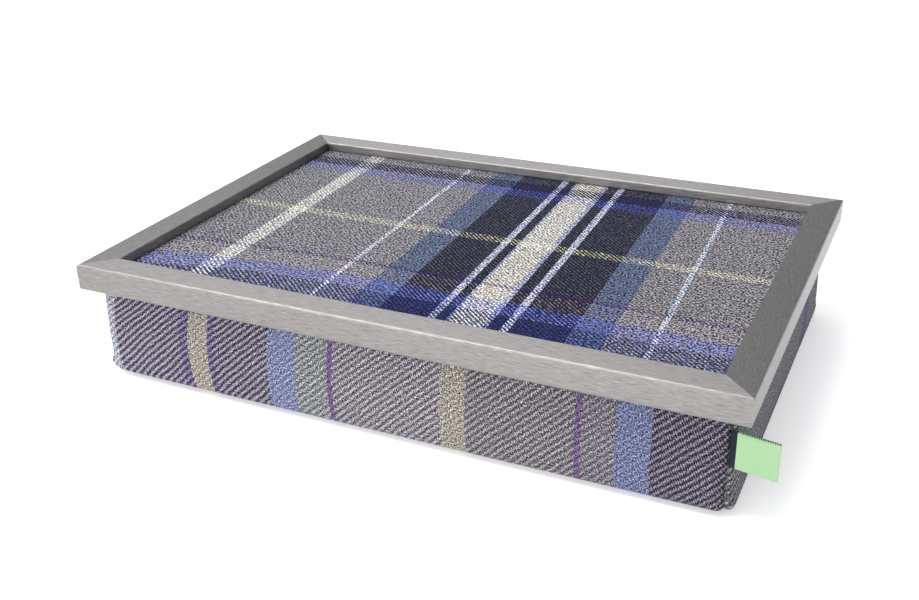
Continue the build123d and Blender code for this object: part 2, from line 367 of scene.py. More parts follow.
@dataclass(frozen=True)
class FaceTwill:
    """Wool twill of the tray's face: a checked sett, twill lines broken to dashes, a salt-and-pepper ground.

    A weft stripe's share says how much of each twill line its yarn fills. Sizes are in millimetres. The
    yarns are drawn thicker than the real 0.4 mm, which is too fine to show.
    """

    half_width: ClassVar[float] = 210
    half_depth: ClassVar[float] = 150

    warp: tuple[Stripe, ...] = (
        Stripe(-210, "858489"),
        Stripe(-156, "c6c6c3"),
        Stripe(-143, "858489"),
        Stripe(-66.5, "c4c4cc"),
        Stripe(-63, "858489"),
        Stripe(-39, "566380"),
        Stripe(-18, "151a32"),
        Stripe(15, "b0b5c8"),
        Stripe(21, "11172e"),
        Stripe(27, "a0a6c0"),
        Stripe(29.5, "c7c5bf"),
        Stripe(50.5, "a0a6c0"),
        Stripe(54, "11172e"),
        Stripe(61, "b0b5c8"),
        Stripe(67, "151a32"),
        Stripe(101, "535f7d"),
        Stripe(122.5, "827f84"),
        Stripe(147, "b4bac6"),
        Stripe(150.5, "827f84"),
    )
    weft: tuple[Stripe, ...] = (
        Stripe(-150, "272e68", 0.5),
        Stripe(-101, "5c64b4", 0.42),
        Stripe(-85, "84767b", 0.2),
        Stripe(-66, "442860", 0.42),
        Stripe(-61, "545358", 0.22),
        Stripe(0.5, "c6c3a0", 0.27),
        Stripe(10.5, "545358", 0.22),
        Stripe(90, "4c50a0", 0.39),
        Stripe(104, "201b42", 0.66),
        Stripe(119, "545358", 0.32),
    )
    wale_across: float = 3.7
    wale_up: float = 3.5
    yarn: float = 0.62
    speck: float = 1.4
    ragged: float = 0.3
    blur: float = 5.0
    darkest: float = 2.4
    palest: float = 3.75

    def material(self) -> bpy.types.Material:
        """Returns the cloth of the tray's face."""
        return dress("wool_twill_face", self._paint)

    def _paint(self, tree: bpy.types.NodeTree) -> Mapping[str, Any]:
        """Weaves warp over weft and speckles the yarns.

        Args:
            tree: the cloth's node tree.

        Returns:
            the shader's inputs.
        """
        place = wire(tree, "UVMap", uv_map=CLOTH_MAP)
        split = wire(tree, "SeparateXYZ", {0: place})
        warp = striped(tree, split.outputs["X"], self.warp, -self.half_width, self.half_width)
        weft = striped(tree, split.outputs["Y"], self.weft, -self.half_depth, self.half_depth)
        slope = (1 / (self.wale_across * MM), 1 / (self.wale_up * MM), 0.0)
        wale = wire(tree, "VectorMath", {0: place, 1: slope}, operation="DOT_PRODUCT").outputs["Value"]
        cells = wire(tree, "VectorMath", {0: place, 1: (self.yarn * MM,) * 3}, operation="DIVIDE")
        cell = wire(tree, "VectorMath", {0: cells}, operation="FLOOR")
        speck = wire(tree, "TexWhiteNoise", {"Vector": cell}, noise_dimensions="2D").outputs["Value"]
        fuzz = wire(tree, "TexNoise", {"Vector": place, "Scale": 1 / (self.speck * MM), "Detail": 1.0})
        line = wire(tree, "Math", {0: speck, 1: self.ragged, 2: wale}, operation="MULTIPLY_ADD")
        turn = wire(tree, "Math", {0: line}, operation="FRACT")
        weft_up = wire(tree, "Math", {0: turn, 1: weft.outputs["Alpha"]}, operation="LESS_THAN")
        woven = wire(tree, "Mix", {0: weft_up, "A": warp, "B": weft}, data_type="RGBA")
        both = wire(tree, "Math", {0: fuzz, 1: self.blur, 2: speck}, operation="MULTIPLY_ADD")
        levels = {"From Min": self.darkest, "From Max": self.palest, "To Min": -0.05, "To Max": 1.0}
        bright = wire(tree, "MapRange", {"Value": both, **levels})
        colour = wire(tree, "Mix", {0: 1.0, "A": woven, "B": bright}, data_type="RGBA", blend_type="OVERLAY")
        ridge = wire(tree, "Math", {0: turn, 1: 0.5}, operation="PINGPONG")
        lift = wire(tree, "Math", {0: ridge, 1: fuzz}, operation="MULTIPLY")
        relief = wire(tree, "Bump", {"Height": lift, "Strength": 0.6, "Distance": 0.5 * MM})
        return {
            "Base Color": colour,
            "Roughness": 0.9,
            "Specular IOR Level": 0.12,
            "Sheen Weight": 0.04,
            "Sheen Roughness": 0.45,
            "Normal": relief,
        }


@dataclass(frozen=True)
class CordTwill:
    """Heavy wool twill of the cushion: pale cord-like ribs over dark grooves, blurred in the stripes.

    A stripe's share says how clear its ribs are. The ribs fan: they stand closer together towards the
    right. Sizes are in millimetres. The yarns' specks are drawn coarser than the real 0.4 mm.
    """

    half_width: ClassVar[float] = 215
    girth: ClassVar[float] = 420
    name: str
    light: tuple[Stripe, ...]
    dark: tuple[Stripe, ...]
    rib_up: float = 4.8
    rib_across: float = 5.35
    rib_fan: float = 23.6
    stitch: float = 1.5
    speck: float = 1.1
    fray: float = 3.0
    rope_share: float = 1.4
    rope_lean: float = 0.45
    wander: float = 0.5
    speck_share: float = 2.6
    groove: float = 1.95
    crest: float = 2.75

    def material(self) -> bpy.types.Material:
        """Returns the cushion's cloth with this sett."""
        return dress(self.name, self._paint)

    def _paint(self, tree: bpy.types.NodeTree) -> Mapping[str, Any]:
        """Lays ribs of one yarn over the other, with the yarns' own specks.

        Args:
            tree: the cloth's node tree.

        Returns:
            the shader's inputs.
        """
        place = wire(tree, "UVMap", uv_map=CLOTH_MAP)
        split = wire(tree, "SeparateXYZ", {0: place})
        fuzz = wire(tree, "TexNoise", {"Vector": place, "Scale": 1 / (self.speck * MM), "Detail": 2.0})
        across = split.outputs["X"]
        frayed = wire(tree, "Math", {0: fuzz, 1: self.fray * MM, 2: across}, operation="MULTIPLY_ADD")
        centred = wire(tree, "Math", {0: frayed, 1: self.fray / 2 * MM}, operation="SUBTRACT")
        light = striped(tree, centred, self.light, -self.half_width, self.half_width)
        dark = striped(tree, split.outputs["Y"], self.dark, -self.girth, 0)
        wander = wire(tree, "TexNoise", {"Vector": place, "Scale": 0.06 / MM, "Detail": 1.0})
        slope = (-1 / (self.rib_across * MM), 1 / (self.rib_up * MM), 0.0)
        rib = wire(tree, "VectorMath", {0: place, 1: slope}, operation="DOT_PRODUCT").outputs["Value"]
        aside = wire(tree, "Math", {0: across, 1: across}, operation="MULTIPLY")
        fanned = wire(tree, "Math", {0: aside, 1: -self.rib_fan, 2: rib}, operation="MULTIPLY_ADD")
        bent = wire(tree, "Math", {0: wander, 1: self.wander, 2: fanned}, operation="MULTIPLY_ADD")
        wave = wire(tree, "Math", {0: bent, 1: 0.5}, operation="PINGPONG")
        ridge = wire(tree, "MapRange", {"Value": wave, "From Min": 0.0, "From Max": 0.5})
        twist = (1 / (self.stitch * MM), self.rope_lean / (self.stitch * MM), 0.0)
        strand = wire(tree, "VectorMath", {0: place, 1: twist}, operation="DOT_PRODUCT").outputs["Value"]
        rope = wire(tree, "Math", {0: strand, 1: 0.5}, operation="PINGPONG")
        corded = wire(tree, "Math", {0: rope, 1: self.rope_share, 2: ridge}, operation="MULTIPLY_ADD")
        rough = wire(tree, "Math", {0: fuzz, 1: self.speck_share, 2: corded}, operation="MULTIPLY_ADD")
        ribbed = wire(tree, "MapRange", {"Value": rough, "From Min": self.groove, "From Max": self.crest})
        specked = wire(tree, "MapRange", {"Value": fuzz, "From Min": 0.34, "From Max": 0.62})
        shown = wire(tree, "Mix", {0: light.outputs["Alpha"], "A": specked, "B": ribbed}, data_type="FLOAT")
        woven = wire(tree, "Mix", {0: shown, "A": dark, "B": light}, data_type="RGBA")
        grain = wire(tree, "TexNoise", {"Vector": place, "Scale": 1.4 / MM, "Detail": 1.0})
        levels = {"From Min": 0.32, "From Max": 0.68, "To Min": 0.1, "To Max": 1.9}
        bright = wire(tree, "MapRange", {"Value": grain, **levels})
        colour = wire(tree, "Mix", {0: 1.0, "A": woven, "B": bright}, **MULTIPLY)
        relief = wire(tree, "Bump", {"Height": shown, "Strength": 0.7, "Distance": 0.5 * MM})
        return {
            "Base Color": colour,
            "Roughness": 0.9,
            "Specular IOR Level": 0.12,
            "Sheen Weight": 0.05,
            "Sheen Roughness": 0.5,
            "Normal": relief,
        }


# Ribs of the cushion's front, stripe by stripe from left to right, in millimetres. Most are the cloth's
# sett, whose ground ribs differ a little in tone from stripe to stripe. The pale band at the left edge is
# painted light, and the darker ribs at the right end are painted shade.
FRONT_STRIPES_AND_PAINTED_LIGHT = (
    # painted light: a pale band along the front's left edge, where the left end panel turns round the corner
    # into the light from the left
    Stripe(-217, "dedeec", 0.5),
    Stripe(-203, "bdb5c9", 1.0),
    Stripe(-149, "a096c2", 0.95),
    Stripe(-142.5, "d0c8b7", 0.3),
    Stripe(-127.5, "a096c2", 0.95),
    Stripe(-122, "b7afc3", 1.0),
    Stripe(-81, "a6afd8", 0.4),
    Stripe(-61, "bcc0c1", 0.6),
    Stripe(-38, "9274ac", 0.5),
    Stripe(-34, "c5bfc5", 0.75),
    Stripe(38, "cac3b3", 0.3),
    Stripe(54, "b4aeb2", 0.75),
    Stripe(121, "9274ac", 0.5),
    Stripe(125.5, "a8a3aa", 0.6),
    Stripe(146, "929dc6", 0.35),
    # painted shade: the ribs are darker from 166 mm to the right seam, where the light falls off
    Stripe(166, "97919f", 1.0),
)
GROOVE = "2c2631"
GROOVES = (
    Stripe(-420, GROOVE),
    Stripe(-300, "31356e"),
    Stripe(-284, "232238"),
    Stripe(-262, GROOVE),
    Stripe(-190, "8d8c6c"),
    Stripe(-180, GROOVE),
    Stripe(-112, "5a3f86"),
    Stripe(-106, GROOVE),
    Stripe(-66, "2c2633"),
)
END_STRIPES = (Stripe(-215, "a19ea5", 0.7), Stripe(60, "757ca4", 0.35), Stripe(80, "a19ea5", 0.7))


@dataclass(frozen=True)
class PlainWeave:
    """Plain-woven cloth: small over-and-under squares of one dyed yarn, matt.

    The thread, in millimetres, is drawn coarser than the real 0.3 mm, which is too fine to show.
    """

    name: str
    colour: str
    thread: float = 0.7
    contrast: float = 0.35

    def material(self) -> bpy.types.Material:
        """Returns the cloth in this colour and count."""
        return dress(self.name, self._paint)

    def _paint(self, tree: bpy.types.NodeTree) -> Mapping[str, Any]:
        """Checks the yarns over and under and mottles the dye.

        Args:
            tree: the cloth's node tree.

        Returns:
            the shader's inputs.
        """
        place = wire(tree, "TexCoord").outputs["Object"]
        weave = wire(tree, "TexChecker", {"Vector": place, "Scale": 1 / (self.thread * MM)})
        mottle = wire(tree, "TexNoise", {"Vector": place, "Scale": 0.5 / MM, "Detail": 3.0})
        levels = {"To Min": 1 - self.contrast, "To Max": 1 + self.contrast}
        bright = wire(tree, "MapRange", {"Value": mottle, "From Min": 0.25, "From Max": 0.75, **levels})
        colour = wire(tree, "Mix", {0: 1.0, "A": srgb(self.colour), "B": bright}, **MULTIPLY)
        height = wire(tree, "Math", {0: weave.outputs["Fac"], 1: mottle}, operation="ADD")
        relief = wire(tree, "Bump", {"Height": height, "Strength": 0.5, "Distance": 0.15 * MM})
        return {"Base Color": colour, "Roughness": 0.9, "Sheen Weight": 0.1, "Normal": relief}


@dataclass(frozen=True)
class NylonPile:
    """Nylon tape with a pile of loops or hooks: a dense field of small bright tufts over the tape's dark
    ground, painted darker still as shade between the tufts.

    The tufts, in millimetres, are drawn coarser than the real 0.5 mm, which is too fine to show.
    """

    name: str
    colour: str
    # the tape's ground, painted near black as shade between the tufts
    ground: str = "0b0b0c"
    tuft: float = 1.0
    scatter: float = 1.0

    def material(self) -> bpy.types.Material:
        """Returns the pile at this spacing."""
        return dress(self.name, self._paint)

    def _paint(self, tree: bpy.types.NodeTree) -> Mapping[str, Any]:
        """Stands tufts on a ground, each fading from its colour at its middle to painted shade at its rim.

        Args:
            tree: the tape's node tree.

        Returns:
            the shader's inputs.
        """
        place = wire(tree, "TexCoord").outputs["Object"]
        field = {"Vector": place, "Scale": 1 / (self.tuft * MM), "Randomness": self.scatter}
        tufts = wire(tree, "TexVoronoi", field).outputs["Distance"]
        # painted shade: each tuft darkens from its middle to the near-black ground, as shade between the
        # tufts
        stops = ((0.0, srgb(self.colour)), (0.75, srgb(self.ground)))
        colour = wire(tree, "ValToRGB", {"Fac": tufts}, stops=stops)
        relief = wire(tree, "Bump", {"Height": tufts, "Strength": 0.9, "Distance": 0.4 * MM}, invert=True)
        return {"Base Color": colour, "Roughness": 0.55, "Sheen Weight": 0.3, "Normal": relief}


@dataclass(frozen=True)
class Hardboard:
    """Pressed hardboard: warm brown with short pale and dark fibres, smooth and dull."""

    light: str = "9c7650"
    dark: str = "6b4a2e"
    cloud_share: float = 0.4

    def material(self) -> bpy.types.Material:
        """Returns the board's face and edges."""
        return dress("hardboard", self._paint)

    def _paint(self, tree: bpy.types.NodeTree) -> Mapping[str, Any]:
        """Scatters fibres over broad clouds.

        Args:
            tree: the board's node tree.

        Returns:
            the shader's inputs.
        """
        place = wire(tree, "TexCoord").outputs["Object"]
        fibres = {"Vector": place, "Scale": 0.7 / MM, "Detail": 5.0, "Distortion": 1.5}
        fibre = wire(tree, "TexNoise", fibres)
        cloud = wire(tree, "TexNoise", {"Vector": place, "Scale": 0.02 / MM, "Detail": 2.0})
        mixed = wire(tree, "Math", {0: cloud, 1: self.cloud_share, 2: fibre}, operation="MULTIPLY_ADD")
        stops = ((0.45, srgb(self.dark)), (0.95, srgb(self.light)))
        colour = wire(tree, "ValToRGB", {"Fac": mixed}, stops=stops)
        relief = wire(tree, "Bump", {"Height": fibre, "Strength": 0.3, "Distance": 0.1 * MM})
        return {"Base Color": colour, "Roughness": 0.6, "Normal": relief}


@dataclass(frozen=True)
class PlatedMetal:
    """Steel or zinc with a thin bright plating: clear reflections, fine scratches, a duller worn bloom."""

    name: str
    colour: str
    roughness: float = 0.28
    polish: float = 0.08
    haze: float = 0.12

    def material(self) -> bpy.types.Material:
        """Returns the plated metal in this colour."""
        return dress(self.name, self._paint)

    def _paint(self, tree: bpy.types.NodeTree) -> Mapping[str, Any]:
        """Blooms the plating.

        Args:
            tree: the metal's node tree.

        Returns:
            the shader's inputs.
        """
        place = wire(tree, "TexCoord").outputs["Object"]
        bloom = wire(tree, "TexNoise", {"Vector": place, "Scale": 0.35 / MM, "Detail": 4.0})
        shade = wire(tree, "MapRange", {"Value": bloom, "To Min": 0.8, "To Max": 1.15})
        colour = wire(tree, "Mix", {0: 1.0, "A": srgb(self.colour), "B": shade}, **MULTIPLY)
        low, high = self.roughness - self.polish, self.roughness + self.haze
        gloss = wire(tree, "MapRange", {"Value": bloom, "To Min": low, "To Max": high})
        relief = wire(tree, "Bump", {"Height": bloom, "Strength": 0.15, "Distance": 0.1 * MM})
        return {"Base Color": colour, "Metallic": 1.0, "Roughness": gloss, "Normal": relief}


@dataclass(frozen=True)
class CoilNylon:
    """Moulded nylon of the zip's coils: dark, slightly glossy, with a faint haze on its bends."""

    colour: str = "2c2a33"
    haze: str = "4a4854"

    def material(self) -> bpy.types.Material:
        """Returns the coils' nylon."""
        return dress("nylon_coil", self._paint)

    def _paint(self, tree: bpy.types.NodeTree) -> Mapping[str, Any]:
        """Hazes the nylon a little.

        Args:
            tree: the nylon's node tree.

        Returns:
            the shader's inputs.
        """
        place = wire(tree, "TexCoord").outputs["Object"]
        haze = wire(tree, "TexNoise", {"Vector": place, "Scale": 0.8 / MM, "Detail": 2.0})
        stops = ((0.3, srgb(self.colour)), (0.8, srgb(self.haze)))
        colour = wire(tree, "ValToRGB", {"Fac": haze}, stops=stops)
        gloss = wire(tree, "MapRange", {"Value": haze, "To Min": 0.3, "To Max": 0.5})
        return {"Base Color": colour, "Roughness": gloss}


@dataclass(frozen=True)
class SatinRibbon:
    """Woven satin ribbon: fresh green with fine crossways ribs, a navy end at the seam, an overlocked edge.

    Sizes are in millimetres. The ribs are drawn coarser than the real 0.2 mm, which is too fine to show.
    """

    green: str = "a5c99b"
    navy: str = "141d2b"
    thread: str = "27493c"
    navy_width: float = 3.6
    edge_width: float = 0.8
    dash: float = 1.2
    dash_share: float = 0.55
    rib: float = 0.45

    def material(self) -> bpy.types.Material:
        """Returns the ribbon, whose map runs in metres along and across it from its top edge."""
        return dress("woven_satin_ribbon", self._paint)

    def _paint(self, tree: bpy.types.NodeTree) -> Mapping[str, Any]:
        """Ribs the ribbon, dyes its end and stitches its top edge.

        Args:
            tree: the ribbon's node tree.

        Returns:
            the shader's inputs.
        """
        place = wire(tree, "UVMap", uv_map=CLOTH_MAP)
        split = wire(tree, "SeparateXYZ", {0: place})
        along, down = split.outputs["X"], split.outputs["Y"]
        # A wave texture of scale 1 repeats 20 / tau times in a metre
        pitch = math.tau / 20 / (self.rib * MM)
        ribs = wire(tree, "TexWave", {"Vector": place, "Scale": pitch, "Distortion": 0.4})
        mottle = wire(tree, "TexNoise", {"Vector": place, "Scale": 0.9 / MM, "Detail": 2.0})
        shade = wire(tree, "MapRange", {"Value": mottle, "To Min": 0.9, "To Max": 1.1})
        green = wire(tree, "Mix", {0: 1.0, "A": srgb(self.green), "B": shade}, **MULTIPLY)
        at_seam = wire(tree, "Math", {0: along, 1: self.navy_width * MM}, operation="LESS_THAN")
        dyed = wire(tree, "Mix", {0: at_seam, "A": green, "B": srgb(self.navy)}, data_type="RGBA")
        on_edge = wire(tree, "Math", {0: down, 1: self.edge_width * MM}, operation="LESS_THAN")
        beat = wire(tree, "Math", {0: along, 1: 1 / (self.dash * MM)}, operation="MULTIPLY")
        part = wire(tree, "Math", {0: beat}, operation="FRACT")
        dashed = wire(tree, "Math", {0: part, 1: self.dash_share}, operation="LESS_THAN")
        stitched = wire(tree, "Math", {0: on_edge, 1: dashed}, operation="MULTIPLY")
        colour = wire(tree, "Mix", {0: stitched, "A": dyed, "B": srgb(self.thread)}, data_type="RGBA")
        relief = wire(tree, "Bump", {"Height": ribs.outputs["Fac"], "Strength": 0.35, "Distance": 0.08 * MM})
        return {
            "Base Color": colour,
            "Roughness": 0.6,
            "Specular IOR Level": 0.2,
            "Sheen Weight": 0.04,
            "Normal": relief,
        }


@dataclass(frozen=True)
class BeadFoam:
    """Expanded polystyrene beads: white, matt and pebbled, each bead 3 mm across, with painted shade in the
    gaps between them.
    """

    bead: float = 3.0
    light: str = "f2f2ee"
    gap_shade: str = "8c8c88"

    def material(self) -> bpy.types.Material:
        """Returns the mass of beads."""
        return dress("polystyrene_beads", self._paint)

    def _paint(self, tree: bpy.types.NodeTree) -> Mapping[str, Any]:
        """Rounds each bead and paints shade into the gaps between beads.

        Args:
            tree: the beads' node tree.

        Returns:
            the shader's inputs.
        """
        place = wire(tree, "TexCoord").outputs["Object"]
        field = {"Vector": place, "Scale": 1 / (self.bead * MM)}
        beads = wire(tree, "TexVoronoi", field).outputs["Distance"]
        # painted shade: each bead greys towards its rim, where the gaps between beads lie in shade
        stops = ((0.4, srgb(self.light)), (0.85, srgb(self.gap_shade)))
        colour = wire(tree, "ValToRGB", {"Fac": beads}, stops=stops)
        relief = wire(tree, "Bump", {"Height": beads, "Strength": 1.0, "Distance": 1.0 * MM}, invert=True)
        return {"Base Color": colour, "Roughness": 0.75, "Normal": relief}


@dataclass(frozen=True)
class StudioPaper:
    """Seamless white background paper, lit from behind, matt with a very faint tooth."""

    colour: str = "f2f2f2"
    glow: float = 0.38

    def material(self) -> bpy.types.Material:
        """Returns the paper of the floor."""
        return dress("white_paper", self._paint)

    def _paint(self, tree: bpy.types.NodeTree) -> Mapping[str, Any]:
        """Gives the paper its tooth.

        Args:
            tree: the paper's node tree.

        Returns:
            the shader's inputs.
        """
        place = wire(tree, "TexCoord").outputs["Object"]
        tooth = wire(tree, "TexNoise", {"Vector": place, "Scale": 0.3 / MM, "Detail": 2.0})
        relief = wire(tree, "Bump", {"Height": tooth, "Strength": 0.05, "Distance": 0.1 * MM})
        return {
            "Base Color": srgb(self.colour),
            "Roughness": 0.95,
            "Specular IOR Level": 0.1,
            "Emission Color": srgb("ffffff"),
            "Emission Strength": self.glow,
            "Normal": relief,
        }


# Sub-assemblies


class Side(Enum):
    """Side of the tray that a rail or tape lies on: quarter turns from the front, about +Z."""

    FRONT = 0
    RIGHT = 1
    BACK = 2
    LEFT = 3

    @property
    def label(self) -> str:
        """Name of the side as the CAD nodes have it."""
        return self.name.lower()

    @property
    def grain(self) -> Grain:
        """Way that this side runs."""
        return Grain.ALONG_Y if self.value % 2 else Grain.ALONG_X


@dataclass
class Moulding:
    """Frame of four mitred rails, with the nails of its corners and the points that hold the boards.

    The lip stops 0.8 mm above the face cloth, which leaves the dark line round it.
    """

    rail_width: float = 0.020
    rebate_width: float = 0.006
    lip_thickness: float = 0.0072
    edge_radius: float = 0.0018
    inner_radius: float = 0.0012
    mitre_ease: float = 0.00018
    corner_ease: float = 0.0005

    def build(self) -> list[bpy.types.Object]:
        """Builds and dresses the rails and their fixings.

        Returns:
            the finished pieces.
        """
        rails = [self._rail(side) for side in Side]
        steel = PlatedMetal("zinc_plated_steel", "b9bcc2").material()
        fixings = [finish_node(name, steel) for name in ("corner_v_nails", "retaining_points")]
        return rails + fixings

    def _rail(self, side: Side) -> bpy.types.Object:
        """Extrudes the moulding's section, cuts its mitres and eases the edges.

        Args:
            side: side of the tray.

        Returns:
            the rail.
        """
        node = f"frame_rail_{side.label}"
        low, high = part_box(node)
        quarter = Matrix.Rotation(side.value * math.pi / 2, 4, "Z")
        half_length = max(high.x - low.x, high.y - low.y) / 2
        outer = abs((low + high).dot(quarter @ Vector((0, -1, 0)))) / 2 + self.rail_width / 2
        bm = self._section(low.z, high.z, outer, half_length)
        self._cut_mitres(bm, half_length, outer)
        bm.transform(quarter)
        bmesh.ops.recalc_face_normals(bm, faces=bm.faces)
        rail = to_object(f"rail_{side.label}", bm, BrushedFoil(side.grain).material())
        sharpen(rail)
        rail.modifiers.new("even flats", "WEIGHTED_NORMAL").keep_sharp = True
        return seat(rail, "tray", "brushed_foil_moulding", node)

    def _section(self, bottom: float, top: float, outer: float, half_length: float) -> bmesh.types.BMesh:
        """Makes the front rail before its mitres: a rebated bar with eased long edges.

        Args:
            bottom: height of the rail's underside.
            top: height of its top face.
            outer: distance of its outer face from the tray's middle.
            half_length: half the rail's length.

        Returns:
            the bar.
        """
        rebate = self.rail_width - self.rebate_width
        outline = (
            (0, bottom),
            (rebate, bottom),
            (rebate, top - self.lip_thickness),
            (self.rail_width, top - self.lip_thickness),
            (self.rail_width, top),
            (0, top),
        )
        bm = bmesh.new()
        corners = [bm.verts.new((-half_length, inward - outer, height)) for inward, height in outline]
        face = bm.faces.new(corners)
        swept = bmesh.ops.extrude_face_region(bm, geom=[face])["geom"]
        moved = [v for v in swept if isinstance(v, bmesh.types.BMVert)]
        bmesh.ops.translate(bm, verts=moved, vec=(2 * half_length, 0, 0))
        bmesh.ops.recalc_face_normals(bm, faces=bm.faces)
        long_edges = [e for e in bm.edges if abs(e.verts[0].co.x - e.verts[1].co.x) > half_length]
        outer_edges = [e for e in long_edges if abs(e.verts[0].co.y + outer) < FLUSH]
        inner_edges = [e for e in long_edges if abs(e.verts[0].co.y + outer - self.rail_width) < FLUSH]
        soften(bm, outer_edges, self.edge_radius, segments=4)
        soften(bm, [e for e in inner_edges if e.is_valid], self.inner_radius, segments=3)
        return bm

    def _cut_mitres(self, bm: bmesh.types.BMesh, half_length: float, outer: float) -> None:
        """Cuts both ends at 45 degrees, closes them and eases the joint lines by a hair.

        Args:
            bm: the rail.
            half_length: half its length.
            outer: distance of its outer face from the tray's middle.
        """
        for way in (-1, 1):
            cut = bmesh.ops.bisect_plane(
                bm,
                geom=bm.verts[:] + bm.edges[:] + bm.faces[:],
                plane_co=(way * half_length, -outer, 0),
                plane_no=Vector((way, 1, 0)).normalized(),
                clear_outer=True,
            )
            rim = [e for e in cut["geom_cut"] if isinstance(e, bmesh.types.BMEdge)]
            bmesh.ops.contextual_create(bm, geom=rim)
            corner = [e for e in rim if all(abs(v.co.y + outer) < FLUSH for v in e.verts)]
            soften(bm, [e for e in rim if e not in corner], self.mitre_ease, segments=1)
            soften(bm, [e for e in corner if e.is_valid], self.corner_ease, segments=2)


@dataclass
class TrayFace:
    """Checked cloth stretched over the tray's board and turned under its edges, with the board behind."""

    turn_under: float = 0.014
    cloth: float = 0.0009
    fold_radius: float = 0.0008
    fold_angle: float = 60.0
    cell: float = 0.0025
    ripple: float = 0.00012
    ripple_fade: float = 0.01
    ripples_per_metre: float = 22.0
    ripple_start: float = 3.1
    lip: float = 0.007
    lean: float = 7.0 / 266
    lean_growth: float = 4.0 / 266 / 0.150
    droop: float = 0.009
    droop_left: Span = (0.05, 0.26)
    droop_right: Span = (0.1, 0.24)
    droop_right_share: float = 0.35
    droop_front: Span = (-0.02, 0.07)
    corner_pull: float = 0.012
    corner_left: Span = (0.10, 0.20)
    corner_front: Span = (0.06, 0.135)

    def build(self) -> list[bpy.types.Object]:
        """Builds the stretched cloth and dresses the boards.

        Returns:
            the finished pieces.
        """
        board = Hardboard().material()
        boards = [finish_node(name, board) for name in ("tray_board", "backing_board")]
        return [self._face(), *boards]

    def _face(self) -> bpy.types.Object:
        """Wraps the cloth over the board: top, edges and turned-under hems.

        Returns:
            the cloth.
        """
        low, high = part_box("tray_fabric")
        bm = bmesh.new()
        counts = [round(2 * half / self.cell) for half in (high.x, high.y)]
        matrix = Matrix.Translation((0, 0, high.z)) @ Matrix.Diagonal((high.x, high.y, 1, 1))
        bmesh.ops.create_grid(bm, x_segments=counts[0], y_segments=counts[1], size=1.0, matrix=matrix)
        rim = [e for e in bm.edges if e.is_boundary]
        side = self._fold_out(bm, rim, Vector((1, 1, 1)), low.z - high.z)
        inwards = Vector(((high.x - self.turn_under) / high.x, (high.y - self.turn_under) / high.y, 1))
        self._fold_out(bm, side, inwards, 0.0)
        set_map(bm, lambda place: self._flat_place(place, high))
        turn = math.radians(self.fold_angle)
        folds = [e for e in bm.edges if e.calc_face_angle(0) > turn]
        soften(bm, folds, self.fold_radius, segments=2)
        for vert in bm.verts:
            inside = min(high.x - self.lip - abs(vert.co.x), high.y - self.lip - abs(vert.co.y))
            if vert.co.z > high.z - NEAR and inside > 0:
                across, up = (part * self.ripples_per_metre for part in vert.co.xy)
                wave = noise.noise(Vector((across, up, self.ripple_start)))
                vert.co.z += self.ripple * (wave - 1) * smooth_step(0, self.ripple_fade, inside)
        bmesh.ops.recalc_face_normals(bm, faces=bm.faces)
        if max(bm.faces, key=lambda f: f.calc_area()).normal.z < 0:
            bmesh.ops.reverse_faces(bm, faces=bm.faces)
        area = sum(f.calc_area() for f in bm.faces)
        face = to_object("checked_face_cloth", bm, FaceTwill().material())
        thick = face.modifiers.new("cloth thickness", "SOLIDIFY")
        thick.thickness, thick.offset = self.cloth, -1.0
        seat(face, "tray", "tartan_fabric", "tray_fabric")
        return face

    def _fold_out(
        self, bm: bmesh.types.BMesh, edges: Sequence[bmesh.types.BMEdge], spread: Vector, drop: float
    ) -> list[bmesh.types.BMEdge]:
        """Extends the cloth's rim by one strip.

        Args:
            bm: the cloth.
            edges: its rim.
            spread: scale of the new rim about the middle.
            drop: how far the new rim lies above the old one.

        Returns:
            the new rim.
        """
        made = bmesh.ops.extrude_edge_only(bm, edges=edges)["geom"]
        verts = [v for v in made if isinstance(v, bmesh.types.BMVert)]
        bmesh.ops.scale(bm, verts=verts, vec=spread)
        bmesh.ops.translate(bm, verts=verts, vec=(0, 0, drop))
        return [e for e in made if isinstance(e, bmesh.types.BMEdge) and e.is_boundary]

    def _flat_place(self, place: Vector, high: Vector) -> tuple[float, float]:
        """Finds where a point of the stretched cloth lies in its weave.

        The warp leans by 7 mm over the face's depth of 266 mm, and by 4 mm more at 150 mm to the right. The
        weft droops at the front left, as the cloth was pulled.

        Args:
            place: the point, in the tray's frame.
            high: the cloth's highest corner.

        Returns:
            metres along the weft and along the warp.
        """
        fold = high.z - place.z
        across = place.x + math.copysign(fold, place.x) * (abs(place.x) > high.x - NEAR)
        up = place.y + math.copysign(fold, place.y) * (abs(place.y) > high.y - NEAR)
        across += place.y * (self.lean + self.lean_growth * place.x)
        aside = smooth_step(*self.droop_left, -place.x)
        aside += self.droop_right_share * smooth_step(*self.droop_right, place.x)
        up += self.droop * aside * smooth_step(*self.droop_front, -place.y)
        corner = smooth_step(*self.corner_left, -place.x) * smooth_step(*self.corner_front, -place.y)
        up += self.corner_pull * corner
        return across, up


